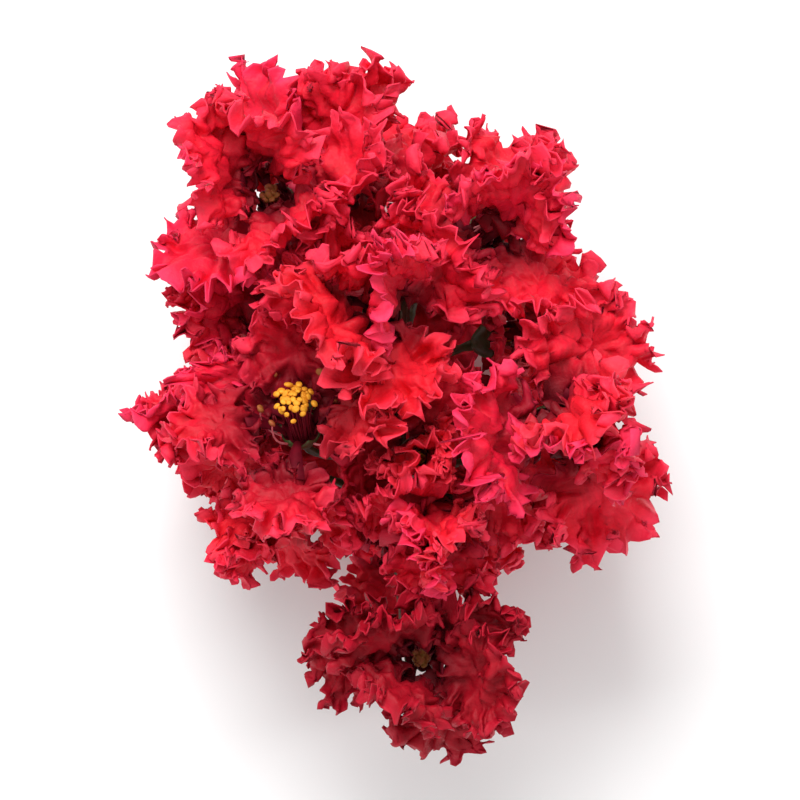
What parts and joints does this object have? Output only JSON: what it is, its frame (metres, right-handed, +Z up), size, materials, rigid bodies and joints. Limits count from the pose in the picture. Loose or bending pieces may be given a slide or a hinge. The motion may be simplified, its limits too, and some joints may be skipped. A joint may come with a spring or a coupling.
{
  "type": "crape myrtle flower panicle",
  "caption": "Cut flower head of a red crape myrtle: ruffled blooms, each with calyx, petals and stamens, packed round a short stem, lying down.",
  "frame": {"origin": "on the surface that the panicle lies on, under the middle of its bounding box", "axes": "+Y along the main stem from its cut end to the panicle's tip, +Z up out of the surface, +X to the right seen from above with the tip away"},
  "size_m": [0.0696, 0.0948, 0.0632],
  "materials": {
    "stem_green": "fresh green-brown stem skin, satin",
    "calyx_green": "fleshy green calyx with a red flush, satin",
    "petal_red": "crinkled red petal, soft satin",
    "anther_gold": "powdery golden anthers"
  },
  "bodies": {
    "root": {"main_stem": "stem_green", "calyx_top": "calyx_green", "calyx_top_left": "calyx_green", "calyx_top_right": "calyx_green", "calyx_left": "calyx_green", "calyx_centre": "calyx_green", "calyx_front_left": "calyx_green", "calyx_front_right": "calyx_green", "calyx_left_low": "calyx_green", "calyx_lower_left": "calyx_green", "calyx_centre_low": "calyx_green", "calyx_middle": "calyx_green", "calyx_bottom": "calyx_green", "calyx_right": "calyx_green", "calyx_right_low": "calyx_green", "calyx_back_left": "calyx_green", "calyx_back_right": "calyx_green", "calyx_back_top": "calyx_green", "calyx_back_low": "calyx_green", "corolla_top": "petal_red", "corolla_top_left": "petal_red", "corolla_top_right": "petal_red", "corolla_left": "petal_red", "corolla_centre": "petal_red", "corolla_front_left": "petal_red", "corolla_front_right": "petal_red", "corolla_left_low": "petal_red", "corolla_lower_left": "petal_red", "corolla_centre_low": "petal_red", "corolla_middle": "petal_red", "corolla_bottom": "petal_red", "corolla_right": "petal_red", "corolla_right_low": "petal_red", "corolla_back_left": "petal_red", "corolla_back_right": "petal_red", "corolla_back_top": "petal_red", "corolla_back_low": "petal_red", "stamens_top": "anther_gold", "stamens_top_left": "anther_gold", "stamens_top_right": "anther_gold", "stamens_left": "anther_gold", "stamens_centre": "anther_gold", "stamens_front_left": "anther_gold", "stamens_front_right": "anther_gold", "stamens_left_low": "anther_gold", "stamens_lower_left": "anther_gold", "stamens_centre_low": "anther_gold", "stamens_middle": "anther_gold", "stamens_bottom": "anther_gold", "stamens_right": "anther_gold", "stamens_right_low": "anther_gold", "stamens_back_left": "anther_gold", "stamens_back_right": "anther_gold", "stamens_back_top": "anther_gold", "stamens_back_low": "anther_gold"}
  },
  "joints": []
}
